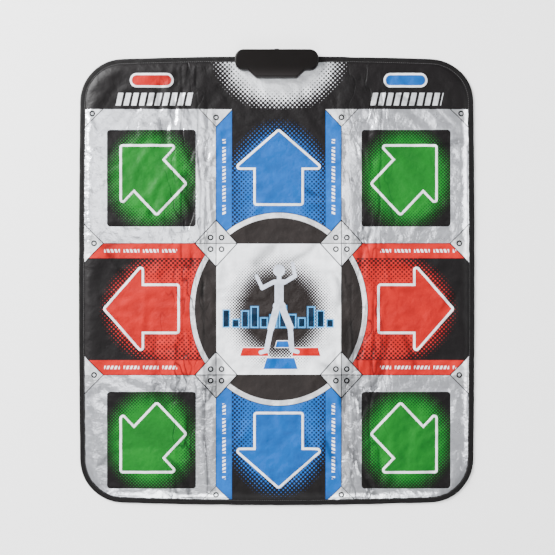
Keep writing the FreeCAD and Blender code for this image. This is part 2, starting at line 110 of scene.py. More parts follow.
# binding tape, stitches and slip-proof base
TAPE_WIDE = 13 * MM
TAPE_THICK = 3.4 * MM
TAPE_UNDER = 2 * MM
TAPE_HIDDEN = 8 * MM
SHOULDER = 9.5 * MM
NIP = 2.7 * MM
STITCH_INSET = 10.2 * MM
STITCH_PITCH = 4.2 * MM
BASE_LEVEL = 0.6 * MM
BASE_CELL = 18 * MM
BASE_BENDS = (146, 148, 150.5, 152, 153.5, 156, 158, 159.5, 162, 164)
DOT_PITCH = 15.5 * MM
DOT_RADIUS = 2.6 * MM
DOT_FACE = 0.15 * MM
DOT_MARGIN = 24 * MM


# ---------- helpers


def deselect():
    for thing in bpy.context.selected_objects:
        thing.select_set(False)


def activate(piece):
    deselect()
    piece.select_set(True)
    bpy.context.view_layer.objects.active = piece


def edit(piece, kind="VERT"):
    activate(piece)
    bpy.context.tool_settings.mesh_select_mode = tuple(kind == name for name in ("VERT", "EDGE", "FACE"))
    bpy.ops.object.mode_set(mode="EDIT")


def edit_all(piece, kind="VERT"):
    edit(piece, kind)
    bpy.ops.mesh.select_all(action="SELECT")


def leave_edit():
    bpy.ops.object.mode_set(mode="OBJECT")


def points_of(piece):
    flat = np.empty(len(piece.data.vertices) * 3)
    piece.data.vertices.foreach_get("co", flat)
    return flat.reshape(-1, 3)


def set_points(piece, points):
    piece.data.vertices.foreach_set("co", points.astype(np.float32).ravel())
    piece.data.update()


def set_heights(piece, heights):
    points = points_of(piece)
    points[:, 2] = heights
    set_points(piece, points)


def choose_nothing(piece):
    """Clears the selection inside a mesh."""
    for parts in (piece.data.vertices, piece.data.edges, piece.data.polygons):
        parts.foreach_set("select", [False] * len(parts))


def choose_faces(piece, chosen):
    """Selects the faces that a test of centre and normal picks, ready for edit mode."""
    choose_nothing(piece)
    for face in piece.data.polygons:
        face.select = bool(chosen(face.center, face.normal))


def point_outwards(piece):
    edit_all(piece)
    bpy.ops.mesh.normals_make_consistent(inside=False)
    leave_edit()


def remove_parts(piece, chosen):
    """Removes the loose parts that hold any of the chosen vertices."""
    choose_nothing(piece)
    piece.data.vertices.foreach_set("select", chosen)
    edit(piece)
    bpy.ops.mesh.select_linked()
    bpy.ops.mesh.delete(type="VERT")
    leave_edit()
    point_outwards(piece)


def repeat(piece, count, step):
    """A row of copies, each one step from the last."""
    array = piece.modifiers.new("row", "ARRAY")
    array.count = count
    array.use_relative_offset = False
    array.use_constant_offset = True
    array.constant_offset_displace = step
    activate(piece)
    bpy.ops.object.modifier_apply(modifier="row")


def smooth_step(share):
    share = np.clip(share, 0, 1)
    return share * share * (3 - 2 * share)


def copy_of(nodes, name):
    """One new object with the merged meshes of some CAD nodes."""
    copies = []
    for node in nodes:
        copy = bpy.data.objects.new(name, frame["nodes"][node].data.copy())
        bpy.context.collection.objects.link(copy)
        copy.data.materials.clear()
        copies.append(copy)
    activate(copies[0])
    for copy in copies:
        copy.select_set(True)
    if len(copies) > 1:
        bpy.ops.object.join()
    edit_all(copies[0])
    bpy.ops.mesh.remove_doubles(threshold=0.01 * MM)
    bpy.ops.mesh.customdata_custom_splitnormals_clear()
    leave_edit()
    return copies[0]


def plan_of(nodes, name, facing, merge):
    """The flat faces of some nodes that face up or down at their outermost level, as one sheet."""
    sheet = copy_of(nodes, name)
    levels = points_of(sheet)[:, 2]
    level = levels.max() if facing > 0 else levels.min()
    choose_faces(sheet, lambda centre, normal: normal.z * facing < 0.9 or abs(centre.z - level) > 0.05 * MM)
    edit(sheet, "FACE")
    bpy.ops.mesh.delete(type="FACE")
    bpy.ops.mesh.select_all(action="SELECT")
    bpy.ops.mesh.remove_doubles(threshold=merge)
    bpy.ops.mesh.dissolve_limited(angle_limit=math.radians(0.05))
    leave_edit()
    return sheet


def cut_grid(sheet, across, along):
    """Cuts a flat sheet at lines of constant X and constant Y."""
    edit(sheet)
    for places, normal in ((across, Vector((1, 0, 0))), (along, Vector((0, 1, 0)))):
        for place in places:
            bpy.ops.mesh.select_all(action="SELECT")
            bpy.ops.mesh.bisect(plane_co=normal * place, plane_no=normal)
    bpy.ops.mesh.select_all(action="SELECT")
    bpy.ops.mesh.remove_doubles(threshold=0.02 * MM)
    leave_edit()


def grid_places(low, high, step, extra=(), bands=()):
    """Even places between two limits, closer in the bands, with any that crowd an extra one left out."""
    places = []
    place = low + step / 2
    while place < high:
        places.append(place)
        place += step / 2 if any(near < place < far for near, far in bands) else step
    clear = [place for place in places if all(abs(place - other) > step / 5 for other in extra)]
    return sorted([*clear, *extra])


def cut_off(sheet, name, chosen):
    """Moves the chosen faces to a new object."""
    choose_faces(sheet, chosen)
    edit(sheet, "FACE")
    bpy.ops.mesh.separate(type="SELECTED")
    leave_edit()
    part = next(thing for thing in bpy.context.selected_objects if thing != sheet)
    part.name = name
    part.data.name = name
    return part


def split_at_folds(whole, name):
    """Five pieces of a cloth that lies across both folds: two flaps, two bending strips and the centre."""
    pieces = {}
    for side, sign in SIDES.items():
        pieces[side] = cut_off(whole, f"{name}_{side}", lambda c, n: c.x * sign > STRIP_OUT)
        pieces[f"{side}_fold"] = cut_off(whole, f"{name}_{side}_fold",
                                         lambda c, n: STRIP_IN < c.x * sign < STRIP_OUT)
    whole.name = f"{name}_centre"
    whole.data.name = whole.name
    pieces["centre"] = whole
    return pieces


def ride_folds(pieces):
    """Flaps and centre ride on their bodies; the strips between them are left in place, unparented."""
    for place, piece in pieces.items():
        if place.endswith("_fold"):
            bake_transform(piece)
        else:
            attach(piece, BODIES[place])


def keep_normals(piece):
    """Stores each vertex's normal, so that pieces cut from one cloth shade alike at the cut."""
    normals = np.empty(len(piece.data.vertices) * 3, np.float32)
    piece.data.vertices.foreach_get("normal", normals)
    store = piece.data.attributes.new("rest_normal", "FLOAT_VECTOR", "POINT")
    store.data.foreach_set("vector", normals)


def use_kept_normals(piece):
    normals = np.empty(len(piece.data.vertices) * 3, np.float32)
    piece.data.attributes["rest_normal"].data.foreach_get("vector", normals)
    piece.data.normals_split_custom_set_from_vertices(normals.reshape(-1, 3))
    piece.data.attributes.remove(piece.data.attributes["rest_normal"])


def divide(whole, name, layer=None):
    """Divides a cloth at the folds. Its three sections stand for a layer's CAD nodes."""
    pieces = split_at_folds(whole, name)
    for place, piece in pieces.items():
        if "rest_normal" in piece.data.attributes:
            use_kept_normals(piece)
        if layer and place in SECTIONS:
            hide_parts(f"{layer}_{place}")
    ride_folds(pieces)
    return pieces


def lay_map(piece):
    """UV map that holds the flat cloth's own place: one metre of cloth is one unit."""
    layers = piece.data.uv_layers
    while layers:
        layers.remove(layers[0])
    corners = np.empty(len(piece.data.loops), np.int32)
    piece.data.loops.foreach_get("vertex_index", corners)
    flat = points_of(piece)[corners][:, :2] + 0.5
    layers.new(name="cloth").data.foreach_set("uv", flat.astype(np.float32).ravel())


def smooth(piece):
    activate(piece)
    bpy.ops.object.shade_smooth()


# ---------- the mat's outline and surface


def mat_outline():
    """Evenly spaced points of the mat's edge, in order, from the binding."""
    rim = np.vstack([points_of(frame["nodes"][f"edge_binding_{section}"]) for section in SECTIONS])
    rim = rim[rim[:, 2] < 0.1 * MM][:, :2]
    hull = rim[convex_hull_2d([Vector(point) for point in rim])]
    closed = np.vstack([hull, hull[:1]])
    along = np.concatenate([[0], np.cumsum(np.linalg.norm(np.diff(closed, axis=0), axis=1))])
    count = int(along[-1] / (4 * MM))
    places = np.arange(count) * along[-1] / count
    return np.stack([np.interp(places, along, closed[:, i]) for i in (0, 1)], axis=1)


OUTLINE = mat_outline()


def edge_distance(points):
    """How far each point lies inside the mat's edge."""
    nearest = np.full(len(points), math.inf)
    for start, end in zip(OUTLINE, np.roll(OUTLINE, -1, axis=0)):
        span = end - start
        offset = points[:, :2] - start
        share = np.clip(offset @ span / (span @ span), 0, 1)[:, None]
        nearest = np.minimum(nearest, np.linalg.norm(offset - share * span, axis=1))
    return nearest


def waves(points, count, longest, shortest, seed, stretch=(1, 1)):
    """Smooth noise from -1 to 1: plane waves of random heading and phase."""
    draw = np.random.default_rng(seed)
    total = np.zeros(len(points))
    for _ in range(count):
        length = math.exp(draw.uniform(math.log(shortest), math.log(longest)))
        heading, phase = draw.uniform(0, 2 * math.pi, 2)
        across = points[:, 0] * math.cos(heading) / stretch[0] + points[:, 1] * math.sin(heading) / stretch[1]
        total += np.cos(across * 2 * math.pi / length + phase)
    return total / math.sqrt(2 * count)


def simulated_folds():
    """Cloth simulation of the cover, a little larger than the edge that holds it, lying on the foam."""
    bpy.ops.mesh.primitive_grid_add(x_subdivisions=SIM_COLUMNS, y_subdivisions=SIM_ROWS, size=1)
    cloth = bpy.context.object
    points = points_of(cloth)
    points[:, :2] *= np.ptp(OUTLINE, axis=0)
    inside = edge_distance(points)
    bump = waves(points, 60, 0.24, 0.05, 7)
    crease = np.exp(-(np.abs(np.abs(points[:, 0]) - FOLD - 8 * MM) / (7 * MM)) ** 2)
    points[:, 2] = TOP + (0.8 * bump + 1.6 * crease + 1) * MM * smooth_step(inside / (60 * MM))
    set_points(cloth, points)
    pins = cloth.vertex_groups.new(name="sewn")
    sewn = [index for index, depth in enumerate(inside) if depth < 17 * MM]
    pins.add(sewn, 1.0, "REPLACE")
    activate(cloth)
    bpy.ops.object.modifier_add(type="CLOTH")
    modifier = cloth.modifiers["Cloth"]
    for name, setting in SIM_SETTINGS.items():
        setattr(modifier.settings, name, setting)
    modifier.settings.effector_weights.gravity = 0.35
    modifier.collision_settings.distance_min = 0.5 * MM
    modifier.point_cache.frame_end = SIM_FRAMES
    bpy.ops.mesh.primitive_plane_add(size=2, location=(0, 0, TOP - 0.5 * MM))
    foam = bpy.context.object
    bpy.ops.object.modifier_add(type="COLLISION")
    foam.collision.thickness_outer = 0.2 * MM
    for step in range(1, SIM_FRAMES + 1):
        bpy.context.scene.frame_set(step)
    activate(cloth)
    bpy.ops.object.modifier_apply(modifier="Cloth")
    heights = points_of(cloth)[:, 2].reshape(SIM_ROWS + 1, SIM_COLUMNS + 1) - TOP
    bpy.context.scene.frame_set(1)
    for thing in (cloth, foam):
        bpy.data.objects.remove(thing)
    return heights


FOLDS = simulated_folds()


def sample_folds(points):
    """The simulated height at each point."""
    if FOLDS is None:
        return 1.4 * MM * np.abs(waves(points, 60, 0.16, 0.05, 7))
    low, size = OUTLINE.min(axis=0), np.ptp(OUTLINE, axis=0)
    across = np.clip((points[:, 0] - low[0]) / size[0] * SIM_COLUMNS, 0, SIM_COLUMNS - 0.001)
    along = np.clip((points[:, 1] - low[1]) / size[1] * SIM_ROWS, 0, SIM_ROWS - 0.001)
    column, row = across.astype(int), along.astype(int)
    right, ahead = smooth_step(across - column), smooth_step(along - row)
    near = FOLDS[row, column] * (1 - right) + FOLDS[row, column + 1] * right
    far = FOLDS[row + 1, column] * (1 - right) + FOLDS[row + 1, column + 1] * right
    return np.clip(near * (1 - ahead) + far * ahead, 0, 6 * MM)


def puckers(points, inside):
    """Gathers that the sewn edge pulls into the cover, square to the edge and fading inwards."""
    around = np.arctan2(points[:, 1] / 1.13, points[:, 0]) * 0.46
    wander = 14 * MM * waves(points, 12, 0.3, 0.1, 3)
    broad = np.sin((around + wander) * 2 * math.pi / (31 * MM))
    narrow = np.sin((around - wander) * 2 * math.pi / (17 * MM))
    fade = np.exp(-np.clip(inside - 20 * MM, 0, None) / (24 * MM))
    fade *= smooth_step((inside - 12 * MM) / (9 * MM))
    patchy = np.clip(0.5 + 0.5 * waves(points, 12, 0.4, 0.15, 5), 0.1, 1)
    return 0.75 * MM * np.clip(broad + 0.5 * narrow, -0.6, None) * fade * patchy


def make_crease_list():
    """Short bent creases pressed into the coated cloth by packing, every other one beside a fold."""
    draw = np.random.default_rng(21)
    creases = []
    for index in range(CREASE_COUNT):
        near_fold = index % 2 == 0
        side = draw.choice((-1, 1))
        across = side * draw.normal(0.19, 0.04) if near_fold else draw.uniform(-0.4, 0.4)
        along = draw.uniform(-0.46, 0.46)
        lean = draw.normal(0, 0.4 if near_fold else 0.9)
        half = draw.uniform(0.02, 0.075 if near_fold else 0.05)
        width = draw.uniform(2.4, 6.5) * MM
        bend = draw.normal(0, 3.0)
        tall = width * draw.uniform(0.40, 0.80) * draw.choice((-1, 1, 1)) * (1.0 if near_fold else 0.6)
        creases.append((across, along, lean, half, width, bend, tall))
    return creases


CREASE_LIST = make_crease_list()


def creased(points):
    """Height of the small creases."""
    total = np.zeros(len(points))
    for across, along, lean, half, width, bend, tall in CREASE_LIST:
        offset = points[:, :2] - (across, along)
        near = np.abs(offset).max(axis=1) < 2.2 * half
        offset = offset[near]
        run = offset[:, 0] * math.sin(lean) + offset[:, 1] * math.cos(lean)
        gap = offset[:, 0] * math.cos(lean) - offset[:, 1] * math.sin(lean) - bend * run ** 2
        total[near] += tall * np.exp(-(run / half) ** 4) / (1 + (gap / width) ** 2)
    return total


def long_creases(points):
    """Each long crease's lift, and every point's distance from it, in millimetres."""
    across, along = points[:, 0] / MM, points[:, 1] / MM
    for index, (far, near, wander, lift) in enumerate(CREASES):
        run = np.column_stack([points[:, 1], np.full(len(points), 0.37 * index)])
        middle = far + (near - far) * (452 - along) / 904 + wander * waves(run, 10, 0.5, 0.06, 40 + index)
        patchy = np.clip(0.75 + 0.45 * waves(run, 10, 0.3, 0.08, 60 + index), 0.15, 1.4)
        yield lift * patchy, np.abs(across - middle)


def fold_creases(points):
    """Cloth standing a little proud on both sides of each long crease."""
    return sum(lift * away / 5 * np.exp(1 - away / 5) for lift, away in long_creases(points)) * MM


def painted_crease_shade(points):
    """How much painted shade darkens the print in the valleys of the creases, from 0 to 1."""
    long = sum(lift / 2.6 * np.exp(-(away / 1.9) ** 2) for lift, away in long_creases(points))
    small = 0.7 * np.clip(-creased(points) / (1.3 * MM) - 0.1, 0, 1)
    return np.clip(long + small, 0, 1)


def cover_height(points):
    """Height of the cover's upper face above the floor."""
    inside = edge_distance(points)
    share = np.clip((inside - TAPE_WIDE) / SHOULDER, 0, 1)
    base = NIP + (TOP - NIP) * np.sqrt(1 - (1 - share) ** 2)
    low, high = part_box("box_top_shell")
    away = np.hypot(np.clip(np.maximum(low.x - points[:, 0], points[:, 0] - high.x), 0, None),
                    np.clip(low.y - points[:, 1], 0, None))
    clear_of_box = smooth_step((away - 3 * MM) / (30 * MM))
    loose = clear_of_box * smooth_step((inside - TAPE_WIDE) / (22 * MM))
    ridges = (sample_folds(points) + creased(points) + fold_creases(points) - 1.1 * MM) * loose
    gathers = (puckers(points, inside) + 0.2 * MM) * clear_of_box * smooth_step(share)
    relief = np.clip(ridges + gathers, 0, None)
    return base + RELIEF_LIMIT * np.tanh(relief / RELIEF_LIMIT)


# ---------- materials


class Value:
    """A number that changes over the surface: arithmetic on it adds Math nodes."""

    def __init__(self, paint, socket):
        self.paint = paint
        self.socket = socket

    def __rsub__(self, other):
        return self.paint.math("SUBTRACT", other, self)


def math_method(operation):
    return lambda value, *others: value.paint.math(operation, value, *others)


for method, operation in {
    "__add__": "ADD", "__radd__": "ADD", "__sub__": "SUBTRACT", "__mul__": "MULTIPLY", "__rmul__": "MULTIPLY",
    "__truediv__": "DIVIDE", "__pow__": "POWER", "__mod__": "FLOORED_MODULO", "__abs__": "ABSOLUTE",
    "sin": "SINE", "cos": "COSINE", "at_least": "MAXIMUM", "at_most": "MINIMUM",
}.items():
    setattr(Value, method, math_method(operation))


class Paint:
    """A material under construction."""

    def __init__(self, name):
        self.material = bpy.data.materials.new(name)
        self.material.use_nodes = True
        self.tree = self.material.node_tree
        self.shader = self.tree.nodes["Principled BSDF"]

    def node(self, kind, settings=None, inputs=None, output=0):
        """Adds a node, sets it up, feeds its sockets, and gives one of its outputs."""
        made = self.tree.nodes.new(kind)
        for name, setting in (settings or {}).items():
            setattr(made, name, setting)
        for name, feed in (inputs or {}).items():
            self.feed(made.inputs[name], feed)
        return Value(self, made.outputs[output])

    def feed(self, socket, feed):
        if isinstance(feed, Value):
            self.tree.links.new(feed.socket, socket)
        elif hasattr(feed, "__len__") and len(feed) == 3 and socket.type == "RGBA":
            socket.default_value = (*feed, 1)
        else:
            socket.default_value = feed

    def math(self, operation, *feeds):
        return self.node("ShaderNodeMath", {"operation": operation}, dict(enumerate(feeds)))

    def vector(self, operation, *feeds, output=0):
        return self.node("ShaderNodeVectorMath", {"operation": operation}, dict(enumerate(feeds)), output)

    def mix(self, share, first, second):
        """A colour between two others."""
        return self.node("ShaderNodeMix", {"data_type": "RGBA"}, {0: share, 6: first, 7: second}, 2)

    def cloth_place(self):
        """Place on the flat cloth, from its middle, in millimetres."""
        flat = self.node("ShaderNodeUVMap", {"uv_map": "cloth"})
        return self.vector("MULTIPLY_ADD", flat, (1000, 1000, 0), (-500, -500, 0))

    def object_place(self):
        """Place in the object's own metres."""
        return self.node("ShaderNodeTexCoord", output=3)

    def parts(self, place):
        split = self.tree.nodes.new("ShaderNodeSeparateXYZ")
        self.tree.links.new(place.socket, split.inputs[0])
        return [Value(self, split.outputs[index]) for index in range(3)]

    def scale(self, vector, factor):
        return self.node("ShaderNodeVectorMath", {"operation": "SCALE"}, {0: vector, "Scale": factor})

    def noise(self, place, scale, detail=2.0, roughness=0.5):
        inputs = {"Vector": place, "Scale": scale, "Detail": detail, "Roughness": roughness}
        return self.node("ShaderNodeTexNoise", {}, inputs)

    def bump(self, height, strength, distance, under=None):
        inputs = {"Height": height, "Strength": strength, "Distance": distance}
        if under is not None:
            inputs["Normal"] = under
        return self.node("ShaderNodeBump", {}, inputs)

    def finish(self, **sockets):
        """Sets the shader's sockets, named with underscores for spaces."""
        for name, feed in sockets.items():
            self.feed(self.shader.inputs[name.replace("_", " ")], feed)
        return self.material


BLACK = (0.0042, 0.0034, 0.0038)
CHARCOAL = (0.015, 0.0120, 0.0115)
BLUE = (0.0008, 0.080, 0.33)
RED = (0.40, 0.0060, 0.0055)
GREEN = (0.0030, 0.130, 0.0110)
SILVER = (0.78, 0.80, 0.86)
WHITE = (0.84, 0.86, 0.90)

# print layout, in millimetres from the middle of the mat
PRINT_X, PRINT_Y = 4.2, -58.7
COLUMN, ROW = 129.4, 135.9
HEADER = 354.3
PRINT_SIDE, PRINT_END = 397, 451
SQUARE_X, SQUARE_Y = 262.8, 270.5
RING_WIDE, RING_LONG, DISC_WIDE = 183, 199, 173.5
LABELS = ((-252, 80), (268, 74))
LABEL_Y = 375
TILES = (
    (-46, -147, 27, 8.5, RED), (61, -147, 27, 8.5, RED), (12, -131, 13, 6.5, BLUE), (8, -171, 32, 11.5, BLUE),
)
HEAD = ((5, 21, 0), 12.2)
LIMBS = (
    ((5, 8), (5, -2), 4.5), ((-4, -3), (14, -3), 5.5), ((5, -6), (5, -46), 9.2), ((1, -52), (10, -52), 8.6),
    ((-7, -3), (-30, -15), 4.4), ((-30, -15), (-42, 10), 3.7),
    ((17, -3), (38, 10), 4.4), ((38, 10), (33, 36), 3.7),
    ((0, -55), (-12, -99), 6.8), ((-12, -99), (-21, -143), 5.3), ((-21, -145), (-33, -148), 4.2),
    ((11, -55), (28, -96), 6.8), ((28, -96), (31, -141), 5.3), ((31, -143), (43, -147), 4.2),
)
BAR_STEP = 19.5
BARS_FLOOR = -95
BAR_GLOW = (0.05, 0.33, 0.72)
BAR_INK = (0.002, 0.012, 0.03)
FIGURE = (0.50, 0.54, 0.64)


def share_of(value):
    """A value held between 0 and 1."""
    return value.at_least(0).at_most(1)


def darker(colour, factor):
    return tuple(channel * factor for channel in colour)


def inked(distance, soft=0.35):
    """1 inside a shape's edge and 0 outside, from the distance past the edge in millimetres."""
    return share_of(0.5 - distance / (2 * soft))


def line(distance, half_width=0.5):
    return inked(abs(distance) - half_width)


def either(first, second):
    return first.at_least(second)


def halftone(across, along, pitch, level):
    """Dots on a slanted lattice: all ink at level -1, none at level 1."""
    turn = 2 * math.pi / pitch
    pattern = (across * turn).cos() * (along * turn).cos()
    return inked((level - pattern) * pitch / 4, 0.5)


def box_distance(across, along, half_across, half_along, corner=0.0):
    """Distance past the edge of a rectangle with rounded corners."""
    over_x = (abs(across) - (half_across - corner))
    over_y = (abs(along) - (half_along - corner))
    outside = (over_x.at_least(0) ** 2 + over_y.at_least(0) ** 2) ** 0.5
    return outside + over_x.at_least(over_y).at_most(0) - corner


def ellipse_share(across, along, half_across, half_along):
    return ((across / half_across) ** 2 + (along / half_along) ** 2) ** 0.5


def cell_edges(right, ahead, half_width):
    """The fine lines between the cells."""
    return either(line(right - COLUMN, half_width), line(ahead - ROW, half_width))


def rivet(across, along):
    """A washer print: a dark ring."""
    radius = (across ** 2 + along ** 2) ** 0.5
    return line(radius - 4.6, 1.5)


def fine_creases(paint, place, across):
    """Thin sharp creases beside the folds, most of them running along the fold, from 0 to 1."""
    stretched = paint.vector("MULTIPLY", place, (1.0, 0.42, 0.0))
    lines = (1 - abs(paint.noise(stretched, 0.021, 2, 0.55) - 0.5) * 42).at_least(0)
    patchy = share_of((paint.noise(place, 0.013, 1) - 0.38) * 5)
    beside = share_of(1.25 - abs(abs(across) - 188) / 56)
    return lines * patchy * beside


def crumple(paint, place, strength, thin):
    """Normal of thin coated cloth: fine crumples over the modelled creases, and the weave."""
    across, along, _ = paint.parts(place)
    broad = abs(paint.noise(place, 0.014, 4, 0.6) - 0.5) * 7
    middling = abs(paint.noise(place, 0.036, 3, 0.6) - 0.5) * 8
    fine = abs(paint.noise(place, 0.075, 3, 0.55) - 0.5) * 6
    total = broad.at_most(1) * 0.62 + middling.at_most(1) * 0.24 + fine.at_most(1) * 0.06 - thin * 0.8
    creased = paint.bump(total, strength, 1.0 * MM)
    weave = (across * (2 * math.pi / 0.9)).sin() * (along * (2 * math.pi / 0.9)).sin()
    return paint.bump(weave, 0.12, 0.06 * MM, creased)


def printed(name, colour_of, metal=0.0, rough=0.36, strength=0.8):
    """Coated printed cloth. colour_of gives the colour and how metallic it is from the place on the cloth."""
    paint = Paint(name)
    place = paint.cloth_place()
    across, along, _ = paint.parts(place)
    colour, shine = colour_of(paint, place, across, along)
    soil = paint.noise(place, 0.02, 4, 0.6)
    # painted shade along the valleys of the creases, read from the cover
    crease_shade = paint.node("ShaderNodeAttribute", {"attribute_name": "painted_crease_shade"}, output=2)
    thin = fine_creases(paint, place, across)
    # soil darkens the print a little at random, and painted shade darkens it along the creases and the thin
    # creases
    darkening = (1 - ((soil - 0.4) * 0.9).at_least(0).at_most(0.22)) * (1 - crease_shade.at_least(thin) * 0.72)
    grain = paint.noise(place, 0.35, 2)
    roughness = rough + (1 - shine) * 0.16 + (grain - 0.5) * 0.12 + (soil - 0.5) * 0.08
    return paint.finish(Base_Color=paint.scale(colour, darkening), Metallic=shine * metal, Roughness=roughness,
                        Normal=crumple(paint, place, strength, thin), Specular_IOR_Level=0.15)


def mirrored(across, along):
    return abs(across - PRINT_X), abs(along - PRINT_Y)


def frame_marks(paint, across, along, colour):
    """Gusset plates, rivets and fine lines over a cell's own print. Gives the colour and the plates' mask."""
    right, ahead = mirrored(across, along)
    beside, level = abs(right - COLUMN), abs(ahead - ROW)
    to_side = PRINT_SIDE - abs(across)
    below_header = HEADER - along
    above_end = along + PRINT_END
    plates = [first / wide + second / tall - 1 for first, second, wide, tall in (
        (beside, level, 43.7, 48), (to_side, level, 39, 39), (beside, below_header, 34, 36),
        (beside, above_end, 26, 27), (to_side, below_header, 38, 37))]
    nearest = plates[0]
    for plate in plates[1:]:
        nearest = nearest.at_most(plate)
    plated = inked(nearest * 30)
    cross = either(line(right - COLUMN, 0.85), line(ahead - ROW, 0.85)).at_most(inked(plates[0] * 30))
    marks = either(line(nearest * 30, 1.0), cross)
    for aside, beyond in (
            (beside - 11.3, level - 12), (to_side - 20, ahead - ROW),
            (right - COLUMN, below_header - 17), (right - COLUMN, above_end - 9),
            (to_side - 16, below_header - 9)):
        marks = either(marks, rivet(aside, beyond))
    colour = paint.mix(plated, colour, WHITE)
    return paint.mix(marks, colour, BLACK), plated


def corner_print(paint, place, across, along):
    """Silver cell with a black square, and a green glow behind the arrow."""
    right, ahead = mirrored(across, along)
    aside, beyond = right - SQUARE_X, ahead - SQUARE_Y
    square = inked(box_distance(aside, beyond, 92, 100, 7))
    radius = ellipse_share(aside, beyond, 1.0, 1.09)
    dots = halftone(across, along, 6.8, (radius - 80) / 22)
    colour = paint.mix(square, SILVER, paint.mix(dots, BLACK, GREEN))
    colour = paint.mix(cell_edges(right, ahead, 0.7), colour, BLACK)
    colour, plated = frame_marks(paint, across, along, colour)
    return colour, either(1 - square, plated)


def arrow_cell_print(tint, upright, reach_out):
    """Cell of a straight arrow: colour near the middle of the mat breaking up into black outwards."""

    def colour_of(paint, place, across, along):
        right, ahead = mirrored(across, along)
        aside, outward, run = (right, ahead, along) if upright else (ahead, right, across)
        half, strip_wide, marks_at = (COLUMN, 33, 273) if upright else (ROW, 31, 288)
        strip_from = half - strip_wide
        reach = ((aside / 112) ** 2 + ((outward - 196) / reach_out) ** 2) ** 0.5
        near_strip = (aside - strip_from * 0.66) / (strip_from * 0.62)
        level = ((reach - 0.93) / 0.2).at_least(near_strip - 0.45)
        colour = paint.mix(halftone(across, along, 9.1, level), BLACK, tint)
        cross = aside - (strip_from + half) / 2
        marks = (inked(abs(cross) - 3.4) * inked(abs(outward - marks_at) - 78)
                 * inked(abs((run + cross * 0.4) % 8 - 4) - 2.3) * inked(abs(run % 40 - 20) - 16))
        colour = paint.mix(inked(strip_from - aside), colour, paint.mix(marks, tint, WHITE))
        colour = paint.mix(line(aside - strip_from, 0.4), colour, BLACK)
        outer = ellipse_share(right, ahead, 1.0, RING_LONG / RING_WIDE)
        ring, disc = inked(outer - RING_WIDE), inked(outer - DISC_WIDE)
        colour = paint.mix(line(outer - RING_WIDE - 0.6, 0.6), colour, BLACK)
        colour = paint.mix(ring, colour, WHITE)
        colour = paint.mix(disc, colour, CHARCOAL)
        colour = paint.mix(line(aside - half, 0.4), colour, BLACK)
        colour, plated = frame_marks(paint, across, along, colour)
        return colour, either(ring * (1 - disc), plated)

    return colour_of


def header_print(paint, place, across, along):
    """Black header with a silver fan under the controller box and label blocks under the pills."""
    share = ellipse_share(across - 7, along - 466, 132, 111)
    white = halftone(across, along, 9.3, (share - 0.86) / 0.2) * inked(HEADER - along)
    for middle, half in LABELS:
        slant = across - middle - (along - LABEL_Y) * 0.22
        block = inked(abs(along - LABEL_Y) - 13) * inked(abs(slant) - half)
        white = either(white, block * inked(abs((slant + half) % 16 - 7.5) - 5.2))
    return paint.mix(white, BLACK, WHITE), white


def limb(paint, place, start, end, radius):
    """Distance past the edge of a round-ended bar."""
    span = Vector((*end, 0)) - Vector((*start, 0))
    offset = paint.vector("SUBTRACT", place, (*start, 0))
    share = paint.vector("DOT_PRODUCT", offset, tuple(span / span.length_squared), output=1)
    gap = paint.vector("SUBTRACT", offset, paint.scale(tuple(span), share_of(share)))
    return paint.vector("LENGTH", gap, output=1) - radius


def centre_print(paint, place, across, along):
    """White panel with a dotted disc, a plain dancer on four tiles and a row of level bars."""
    share = ellipse_share(across - 4, along + 64, 1.0, 1.03)
    colour = paint.mix(halftone(across, along, 6.4, (share - 96) / 24), WHITE, CHARCOAL)
    for middle, level, half_across, half_along, tint in TILES:
        flare = (along - level) * 0.3
        shape = (abs(across - middle) - half_across + flare).at_least(abs(along - level) - half_along)
        colour = paint.mix(inked(shape - 1.4), colour, WHITE)
        colour = paint.mix(inked(shape), colour, tint)
    slot = (across - 3) % BAR_STEP - BAR_STEP / 2
    rank = (across - 3 - slot) / BAR_STEP
    tall = 14 + 7 * (rank * 1.9 + 0.6).sin()
    bars = (abs(slot) - 5.8).at_least(abs(along - BARS_FLOOR - tall) - tall)
    span = inked(abs(across - 3) - 6 * BAR_STEP)
    colour = paint.mix(inked(bars - 2.2, 1.4) * span, colour, BAR_GLOW)
    colour = paint.mix(inked(bars) * span, colour, BAR_INK)
    middle, radius = HEAD
    figure = paint.vector("LENGTH", paint.vector("SUBTRACT", place, middle), output=1) - radius
    for start, end, radius in LIMBS:
        figure = figure.at_most(limb(paint, place, start, end, radius))
    colour = paint.mix(inked(figure), colour, FIGURE)
    right, ahead = mirrored(across, along)
    colour = paint.mix(cell_edges(right, ahead, 0.8), colour, BLACK)
    colour, _ = frame_marks(paint, across, along, colour)
    return colour, 1.0


def plain_print(tint):
    """One colour, a little uneven."""

    def colour_of(paint, place, across, along):
        cloud = paint.noise(place, 0.018, 3)
        return paint.mix(share_of((cloud - 0.35) * 1.5), darker(tint, 0.82), tint), 0.0

    return colour_of


def simple(name, colour, rough, metal=0.0, grain=1500, depth=0.05, spread=0.15, speck=None):
    """A plain moulded, cast or sheet material with fine grain, in the piece's own metres."""
    paint = Paint(name)
    place = paint.object_place()
    fine = paint.noise(place, grain, 3)
    broad = paint.noise(place, 45, 3)
    tint = paint.mix(broad, darker(colour, 1 - spread), colour)
    if speck:
        tint = paint.mix(share_of((fine - 0.62) * 9), tint, speck)
    roughness = rough + (broad - 0.5) * 0.15 + (fine - 0.5) * 0.1
    return paint.finish(Base_Color=tint, Metallic=metal, Roughness=roughness,
                        Normal=paint.bump(fine, 0.3, depth * MM), Specular_IOR_Level=0.5)


